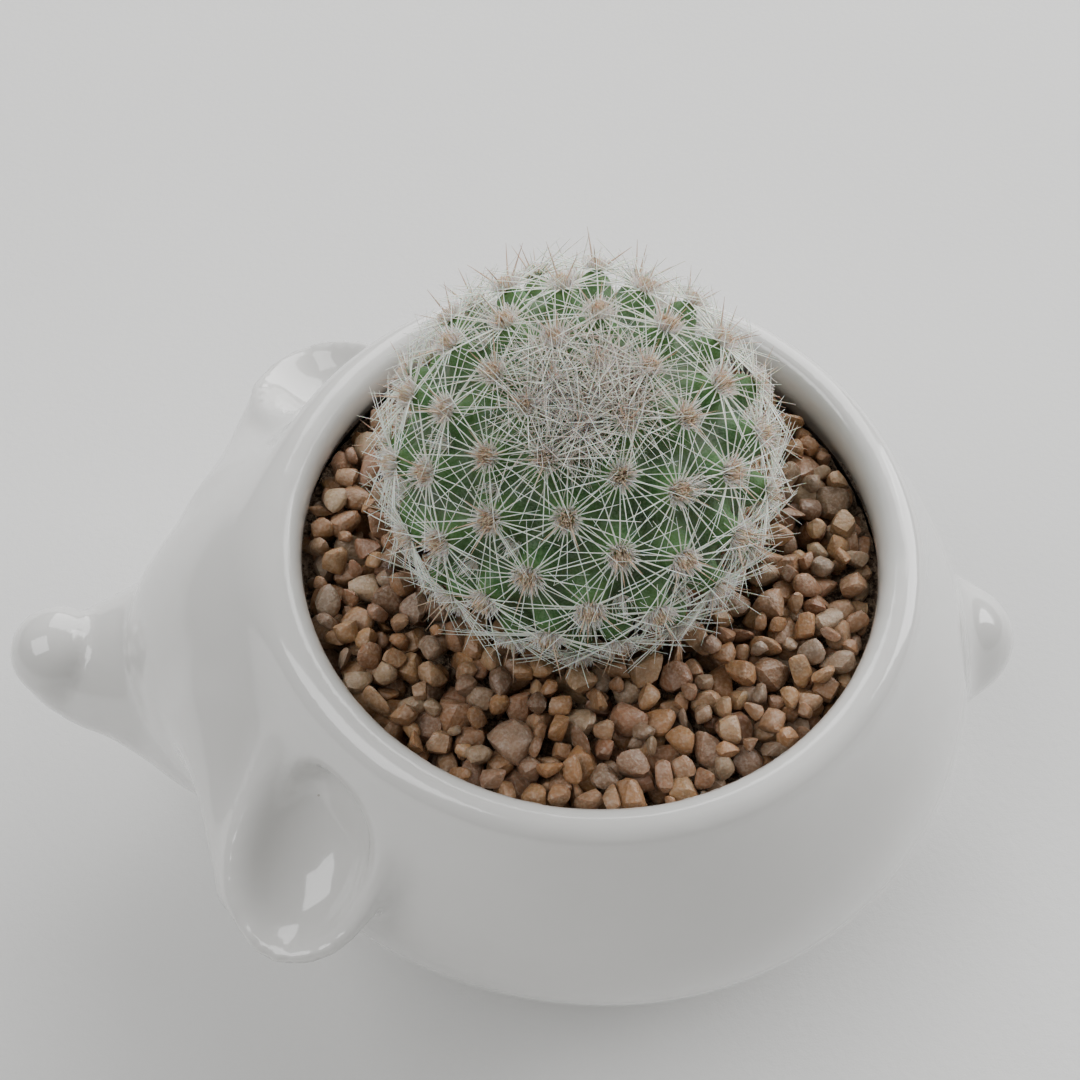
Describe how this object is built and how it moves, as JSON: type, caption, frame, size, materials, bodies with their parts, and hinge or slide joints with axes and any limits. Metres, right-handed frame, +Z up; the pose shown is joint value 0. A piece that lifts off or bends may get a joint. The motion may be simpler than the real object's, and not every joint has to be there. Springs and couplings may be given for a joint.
{
  "type": "potted mammillaria cactus",
  "caption": "Globular cactus with star-shaped spine clusters in a glazed ceramic planter shaped like an elephant, topped with gravel.",
  "frame": {"origin": "centre of the bounding box, on the surface that the feet stand on", "axes": "+Z up, the trunk points along -X and the tail along +X"},
  "size_m": [0.1282, 0.0892, 0.091],
  "materials": {
    "white_glaze": "glossy off-white glaze",
    "soil": "rough dark potting mix",
    "gravel": "matt tan and grey stones",
    "cactus": "waxy green skin under pale spines"
  },
  "bodies": {
    "root": {"elephant_pot": "white_glaze", "potting_soil": "soil", "gravel_bed": "gravel", "mammillaria": "cactus"}
  },
  "joints": []
}
